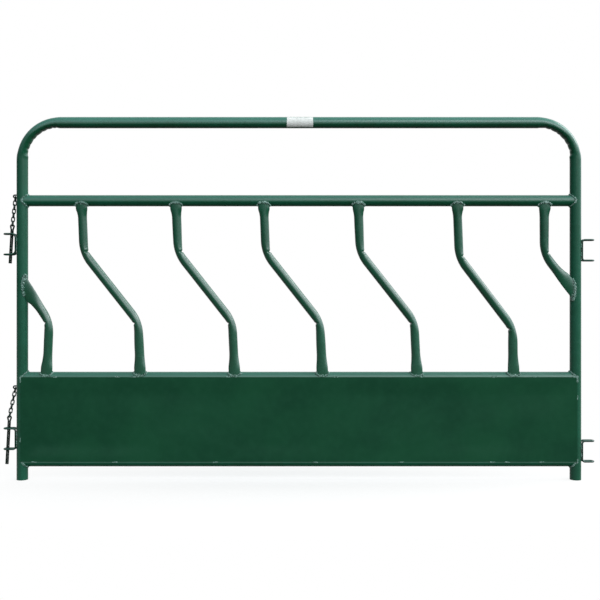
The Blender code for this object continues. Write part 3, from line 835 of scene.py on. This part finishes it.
def build_loop(node, side, lower_prong, bend=LOOP_BEND_RADIUS):
    """A closed ring of rod with its prongs bent out, and the beads that hold its uprights to the post."""
    touch = TUBE_RADIUS + GAP + LOOP_ROD / 2
    upright_out = math.sqrt(touch ** 2 - LOOP_HALF_SPACING ** 2)
    straight = LOOP_REACH - LOOP_ROD / 2 - LOOP_HALF_SPACING - upright_out - bend
    outwards = RIGHT * side
    root = Vector((side * (POST_X + upright_out), TUBE_Y - LOOP_HALF_SPACING, lower_prong + bend))
    upright = PRONG_SPACING - 2 * bend
    sweep = Sweep(node + "_rod", root, UP, LOOP_ROD, 16)
    sweep.go(upright, 3).turn(outwards, bend, 10).go(straight, 2)
    sweep.turn(BACK, LOOP_HALF_SPACING, 12).turn(-outwards, LOOP_HALF_SPACING, 12).go(straight, 2)
    sweep.turn(-UP, bend, 10).go(upright, 3).turn(outwards, bend, 10).go(straight, 2)
    sweep.turn(-BACK, LOOP_HALF_SPACING, 12).turn(-outwards, LOOP_HALF_SPACING, 12).go(straight, 2)
    sweep.turn(UP, bend, 10)
    piece = sweep.done(closed=True)
    beads = []
    bead_length = 0.020
    for number, (depth, share) in enumerate(((-1, 0.30), (-1, 0.72), (1, 0.26), (1, 0.70))):
        to_rod = Vector((side * upright_out, depth * LOOP_HALF_SPACING, 0.0)).normalized()
        groove = Vector((side * POST_X, TUBE_Y, lower_prong + share * PRONG_SPACING)) + to_rod * TUBE_RADIUS
        aside = Vector((-to_rod.y, to_rod.x, 0.0))
        if aside.y * depth < 0:
            aside = -aside
        start = groove + aside * 0.0038 - UP * (bead_length / 2)
        run = [start, start + UP * bead_length]
        beads.append(weld(node + "_weld", run, LOOP_BEAD, 400 + number + int(lower_prong * 900)))
    finish_piece(piece, rod_enamel, "panel", node, 60)
    finish_piece(join(beads, node + "_welds"), weld_enamel, "panel")


# Pins and chains

def joint_place(name):
    for joint in frame["joints"]:
        if joint["name"] == name:
            return joint
    raise KeyError(name)


def build_pin(level, lean, length):
    """Rod bent double round an eye, its two legs side by side with the ends eased."""
    node = "coupling_pin_" + level
    low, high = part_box(node)
    half = PIN_LEG_SPACING / 2
    reach = math.hypot(half, PIN_NECK_DROP)
    flare = math.asin(PIN_EYE_RADIUS / reach) - math.atan2(half, PIN_NECK_DROP)
    eye = Vector((0.0, 0.0, -PIN_EYE_RADIUS))
    contact = eye + Vector((math.cos(flare), 0.0, -math.sin(flare))) * PIN_EYE_RADIUS
    neck = eye + Vector((half, 0.0, -PIN_NECK_DROP))
    tip = Vector((half, 0.0, PIN_ROD / 2 - length))
    heading = (contact - neck).normalized()
    neck_radius = 0.008
    ease = neck_radius * math.tan(UP.angle(heading) / 2)
    sweep = Sweep(node + "_rod", tip, UP, PIN_ROD, 16)
    sweep.go(neck.z - tip.z - ease, 6).turn(heading, neck_radius, 4)
    sweep.go((contact - sweep.place).dot(heading))
    over = math.radians(10)
    sweep.turn(UP * math.cos(over) - RIGHT * math.sin(over), PIN_EYE_RADIUS, 4)
    sweep.turn(-RIGHT, PIN_EYE_RADIUS, 9)
    back_to_neck = Vector((heading.x, 0.0, -heading.z))
    sweep.turn(-UP, PIN_EYE_RADIUS, 10).turn(back_to_neck, PIN_EYE_RADIUS, 3)
    sweep.go((contact - neck).length - ease).turn(-UP, neck_radius, 4).go(neck.z - tip.z - ease, 6)
    piece = sweep.done()
    bevel = piece.modifiers.new("eased_ends", "BEVEL")
    bevel.width = 0.0009
    bevel.segments = 2
    bevel.limit_method = "ANGLE"
    bevel.angle_limit = math.radians(60)
    bpy.context.view_layer.objects.active = piece
    bpy.ops.object.modifier_apply(modifier=bevel.name)
    piece.data.transform(Matrix.Rotation(lean, 4, "Y"))
    xs = [vertex.co.x for vertex in piece.data.vertices]
    zs = [vertex.co.z for vertex in piece.data.vertices]
    middle = Vector(((min(xs) + max(xs)) / 2, 0.0, max(zs)))
    place = Vector(((low.x + high.x) / 2 - middle.x, (low.y + high.y) / 2, high.z - middle.z))
    piece.data.transform(Matrix.Translation(place))
    finish_piece(piece, chain_enamel, level + "_pin", node, 60)


def model_link():
    """One oval link in the XZ plane, welded half way down one side."""
    half_straight = (LINK_LENGTH - LINK_WIDTH) / 2
    half_width = (LINK_WIDTH + CHAIN_WIRE) / 2
    sweep = Sweep("chain_link", (half_width, 0.0, -half_straight), UP, CHAIN_WIRE, 14)
    sweep.go(2 * half_straight, 8).turn(-RIGHT, half_width, 8).turn(-UP, half_width, 8)
    sweep.go(2 * half_straight, 2).turn(RIGHT, half_width, 8).turn(UP, half_width, 8)
    link = sweep.done(closed=True)
    centre = Vector((half_width, 0.0, 0.0))
    for vertex in link.data.vertices:
        if vertex.co.x > half_width / 2 and abs(vertex.co.z) < half_straight * 0.6:
            swell = 0.16 * math.exp(-(vertex.co.z / 0.0012) ** 2)
            spoke = Vector((vertex.co.x - centre.x, vertex.co.y, 0.0))
            vertex.co += spoke * swell
    return link


def build_chain(level, link):
    """Seven links from the staple to the pin's eye, every other one turned a quarter."""
    joints = [joint_place("%s_link_%d_swing" % (level, n)) for n in range(1, LINK_COUNT + 1)]
    places = [Vector(joint["pos_m"]) for joint in joints]
    along = (places[-1] - places[0]).normalized()
    across = (RIGHT - along * RIGHT.dot(along)).normalized()
    depth = along.cross(across)
    for number, place in enumerate(places, start=1):
        edge_on = number % 2 == 1
        held_by = STAPLE_ROD if number == 1 else CHAIN_WIRE
        drop = LINK_LENGTH / 2 - GAP - held_by / 2 if edge_on else (LINK_LENGTH + CHAIN_WIRE) / 2
        wide, thick = (depth, across) if edge_on else (across, -depth)
        flip = 1 if number % 4 < 2 else -1
        turn = Matrix((wide * flip, thick * flip, -along)).transposed().to_4x4()
        node = "chain_%s_link_%d" % (level, number)
        piece = copy_placed(link, node + "_forged", Matrix.Translation(place + along * drop) @ turn)
        finish_piece(piece, chain_enamel, "%s_link_%d" % (level, number), node, 60)


def build_staple(level):
    """A half link of thicker rod welded on the post's flank, with a bead at each arm's root."""
    node = "chain_%s_anchor" % level
    hook = Vector(joint_place("%s_link_1_swing" % level)["pos_m"])
    half = STAPLE_HALF_SPACING
    root_x = -POST_X - TUBE_RADIUS * 0.92
    bend_x = -POST_X - TUBE_RADIUS - STAPLE_STRAIGHT
    sweep = Sweep(node + "_rod", (root_x, hook.y, hook.z), -RIGHT, STAPLE_ROD, 16)
    sweep.go(root_x - bend_x, 3).turn(UP, half, 8).turn(RIGHT, half, 8).go(root_x - bend_x, 3)
    piece = sweep.done()
    beads = []
    bead_radius = 0.0040
    radius = math.sqrt((TUBE_RADIUS + 0.0006) ** 2 - (hook.y - TUBE_Y) ** 2)
    for arm in (0, 1):
        centre = Vector((-POST_X - radius, hook.y, hook.z + arm * 2 * half))
        ring = [
            centre + BACK * math.cos(a) * bead_radius + UP * math.sin(a) * bead_radius
            for a in [math.tau * n / 10 for n in range(10)]
        ]
        beads.append(weld(node + "_weld", ring, STAPLE_BEAD, 500 + arm, closed=True))
    finish_piece(piece, chain_enamel, "panel", node, 60)
    finish_piece(join(beads, node + "_welds"), chain_enamel, "panel")


# Blank label

def build_label():
    """A blank film label wrapped round the front of the top rail."""
    bpy.ops.object.select_all(action="DESELECT")
    bpy.ops.mesh.primitive_grid_add(x_subdivisions=30, y_subdivisions=24, size=1.0)
    piece = bpy.context.object
    piece.name = "blank_label"
    radius = TUBE_RADIUS + LABEL_FILM
    for vertex in piece.data.vertices:
        x = LABEL_LEFT + (vertex.co.x + 0.5) * (LABEL_RIGHT - LABEL_LEFT)
        angle = LABEL_LOWER_EDGE + (vertex.co.y + 0.5) * (LABEL_UPPER_EDGE - LABEL_LOWER_EDGE)
        vertex.co = (x, TUBE_Y - radius * math.cos(angle), TOP_Z + radius * math.sin(angle))
    return finish_piece(piece, label_film(), "panel")


build_outer_frame()
build_rail("mid_rail", MID_Z)
build_rail("sheet_rail", SHEET_TOP_Z, sheeted=True)
build_rail("bottom_rail", SHEET_FOOT_Z, sheeted=True)
build_sheet()
build_stitch_welds()
build_bars()
build_loop("connector_loop_upper_left", -1, UPPER_LOOP_LEFT, UPPER_LEFT_BEND_RADIUS)
build_loop("connector_loop_upper_right", 1, UPPER_LOOP_RIGHT)
build_loop("connector_loop_lower_left", -1, LOWER_LOOP_LEFT)
build_loop("connector_loop_lower_right", 1, LOWER_LOOP_RIGHT)
build_pin("upper", UPPER_PIN_LEAN, UPPER_PIN_LENGTH)
build_pin("lower", LOWER_PIN_LEAN, LOWER_PIN_LENGTH)
chain_link = model_link()
build_chain("upper", chain_link)
build_chain("lower", chain_link)
bpy.data.objects.remove(chain_link, do_unlink=True)
build_staple("upper")
build_staple("lower")
build_label()


# Studio

# Radiance of the tent's sides, and the shares of it that its top, its left and its right have
TENT_SIDE = 2.5
TENT_TOP = 0.38
TENT_LEFT = 0.10
TENT_RIGHT = 1.60
# Radiance of the room below the tent's edge
ROOM_LEVEL = 0.5
# The floor's paint as it is seen, and as it throws light back
FLOOR_SEEN = "#fbf7f2"
FLOOR_UNSEEN = "#2c2c2b"
CAMERA_X = 0.0048
CAMERA_DISTANCE = 3.6018
CAMERA_HEIGHT = 0.7752


def rays_that_see_the_backdrop(tree):
    """1 for rays that see the backdrop as such: the camera's, and those mirrored or bent towards it."""
    path = add(tree, "ShaderNodeLightPath")
    first = add(
        tree,
        "ShaderNodeMath",
        {0: path.outputs["Is Camera Ray"], 1: path.outputs["Is Glossy Ray"]},
        operation="MAXIMUM",
    )
    both = {0: first.outputs[0], 1: path.outputs["Is Transmission Ray"]}
    return add(tree, "ShaderNodeMath", both, operation="MAXIMUM").outputs[0], path.outputs["Is Camera Ray"]


def build_floor():
    """Pale floor that keeps the shadow near the panel's feet and runs out into the white backdrop.

    It looks pale, but throws little light back up, so the undersides of the tubes stay dark.
    """
    bpy.ops.object.select_all(action="DESELECT")
    bpy.ops.mesh.primitive_plane_add(size=60.0, location=(0.0, 0.0, 0.0))
    floor = bpy.context.object
    floor.name = "studio_floor"
    material, tree = new_material("pale_matt_floor_paint")
    place = add(tree, "ShaderNodeTexCoord").outputs["Object"]
    reach = add(tree, "ShaderNodeVectorMath", {0: place, 1: (0.5, 1.0, 0.0)}, operation="MULTIPLY")
    far = add(tree, "ShaderNodeVectorMath", {0: reach.outputs[0]}, operation="LENGTH").outputs["Value"]
    away = add(tree, "ShaderNodeMapRange", {"Value": far, "From Min": 0.15, "From Max": 0.9, "To Min": 0.6})
    sees, _ = rays_that_see_the_backdrop(tree)
    shown = {0: away.outputs["Result"], 1: sees}
    lift = add(tree, "ShaderNodeMath", shown, operation="MULTIPLY").outputs[0]
    paint = mixed(tree, sees, linear(FLOOR_UNSEEN), linear(FLOOR_SEEN))
    matt = add(tree, "ShaderNodeBsdfDiffuse", {"Color": paint})
    white = add(tree, "ShaderNodeEmission", {"Color": (1.0, 1.0, 1.0, 1.0), "Strength": 1.0})
    surface = add(tree, "ShaderNodeMixShader", {0: lift, 1: matt.outputs[0], 2: white.outputs[0]})
    tree.links.new(surface.outputs[0], add(tree, "ShaderNodeOutputMaterial").inputs["Surface"])
    floor.data.materials.append(material)


def build_world():
    """A tent from the horizon up, brightest on the right, over a dim room, and the white backdrop."""
    world = bpy.data.worlds.new("studio_tent")
    bpy.context.scene.world = world
    world.use_nodes = True
    tree = world.node_tree
    tree.nodes.clear()
    sky_place = add(tree, "ShaderNodeTexCoord").outputs["Generated"]
    heading = add(tree, "ShaderNodeSeparateXYZ", {0: sky_place})
    behind = add(tree, "ShaderNodeMapRange", {
        "Value": heading.outputs["Y"],
        "From Min": 0.3,
        "From Max": 0.7,
    }).outputs["Result"]
    sees, camera = rays_that_see_the_backdrop(tree)
    mirrored = add(tree, "ShaderNodeMath", {0: behind, 1: sees}, operation="MULTIPLY").outputs[0]
    white = add(tree, "ShaderNodeMath", {0: mirrored, 1: camera}, operation="MAXIMUM").outputs[0]
    # the tent's sides come down to the horizon and are brighter than its top
    side = add(tree, "ShaderNodeMapRange", {
        "Value": heading.outputs["Z"],
        "From Min": 0.02,
        "From Max": 0.10,
        "To Min": ROOM_LEVEL,
        "To Max": TENT_SIDE,
    }, interpolation_type="SMOOTHSTEP")
    top = add(tree, "ShaderNodeMapRange", {
        "Value": heading.outputs["Z"],
        "From Min": 0.25,
        "From Max": 0.85,
        "To Min": 1.0,
        "To Max": TENT_TOP,
    })
    level = {0: side.outputs["Result"], 1: top.outputs["Result"]}
    even = add(tree, "ShaderNodeMath", level, operation="MULTIPLY").outputs[0]
    right = add(tree, "ShaderNodeMapRange", {
        "Value": heading.outputs["X"],
        "From Min": -1.0,
        "From Max": 1.0,
        "To Min": TENT_LEFT,
        "To Max": TENT_RIGHT,
    })
    lit = {0: even, 1: right.outputs["Result"]}
    strength = add(tree, "ShaderNodeMath", lit, operation="MULTIPLY").outputs[0]
    tent = add(tree, "ShaderNodeBackground", {"Color": linear("#e2edf6"), "Strength": strength})
    backdrop = add(tree, "ShaderNodeBackground", {"Color": (1.0, 1.0, 1.0, 1.0), "Strength": 1.0})
    sky = add(tree, "ShaderNodeMixShader", {0: white, 1: tent.outputs[0], 2: backdrop.outputs[0]})
    tree.links.new(sky.outputs[0], add(tree, "ShaderNodeOutputWorld").inputs["Surface"])


def lamp(name, place, target, size, power):
    """A white softbox of this size in metres and power in watts, turned to its target."""
    data = bpy.data.lights.new(name, "AREA")
    data.shape = "RECTANGLE"
    data.size, data.size_y = size
    data.energy = power
    obj = bpy.data.objects.new(name, data)
    bpy.context.scene.collection.objects.link(obj)
    obj.location = place
    obj.rotation_euler = (Vector(target) - Vector(place)).to_track_quat("-Z", "Y").to_euler()
    return obj


def build_camera():
    """A level 50 mm lens at the height of the panel's middle, 3.6 m in front of it."""
    data = bpy.data.cameras.new("camera")
    data.lens = 50.0
    data.sensor_width = 36.0
    camera = bpy.data.objects.new("camera", data)
    bpy.context.scene.collection.objects.link(camera)
    camera.location = (CAMERA_X, TUBE_Y - CAMERA_DISTANCE, CAMERA_HEIGHT)
    camera.rotation_euler = (math.radians(90), 0.0, 0.0)
    bpy.context.scene.camera = camera


build_floor()
build_world()
lamp("front_softbox", place=(4.2, -7.4, 5.0), target=(0.0, 0.0, 0.8), size=(9.0, 5.0), power=245.0)
lamp("right_rim_softbox", place=(7.9, 0.4, 7.1), target=(0.0, 0.0, 0.9), size=(6.0, 5.0), power=420.0)
build_camera()
bpy.context.scene.view_settings.view_transform = "Standard"
